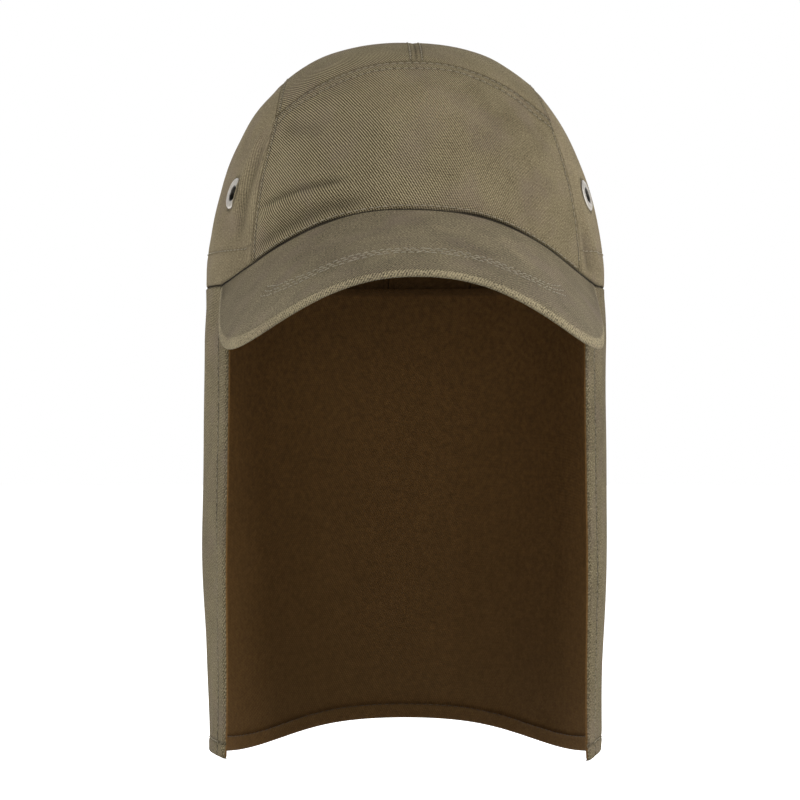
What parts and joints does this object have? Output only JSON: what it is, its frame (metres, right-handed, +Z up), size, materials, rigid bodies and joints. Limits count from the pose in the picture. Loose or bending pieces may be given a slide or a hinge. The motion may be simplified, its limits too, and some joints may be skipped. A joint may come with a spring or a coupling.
{
  "type": "sun cap",
  "caption": "Soft cloth sun cap with a round panelled crown, a stiff curved peak, metal vent eyelets and a long neck flap that shades the neck and ears.",
  "frame": {"origin": "middle of the headband, level with the crown's lower edge at the sides", "axes": "+Z up through the crown, the peak points to -Y, +X is to the right of someone who looks at the peak from in front"},
  "size_m": [0.1747, 0.2652, 0.3125],
  "materials": {
    "crown_cloth": "matt olive-brown cotton twill",
    "peak_cloth": "matt olive-brown cotton twill with rows of topstitching",
    "flap_cloth": "matt olive-brown cotton twill, hemmed",
    "eyelet_metal": "bright plated metal"
  },
  "bodies": {
    "root": {"front_panel": "crown_cloth", "top_panel_left": "crown_cloth", "top_panel_right": "crown_cloth", "side_panel_left": "crown_cloth", "side_panel_right": "crown_cloth", "peak": "peak_cloth", "neck_flap": "flap_cloth", "eyelet_left": "eyelet_metal", "eyelet_right": "eyelet_metal"}
  },
  "joints": []
}
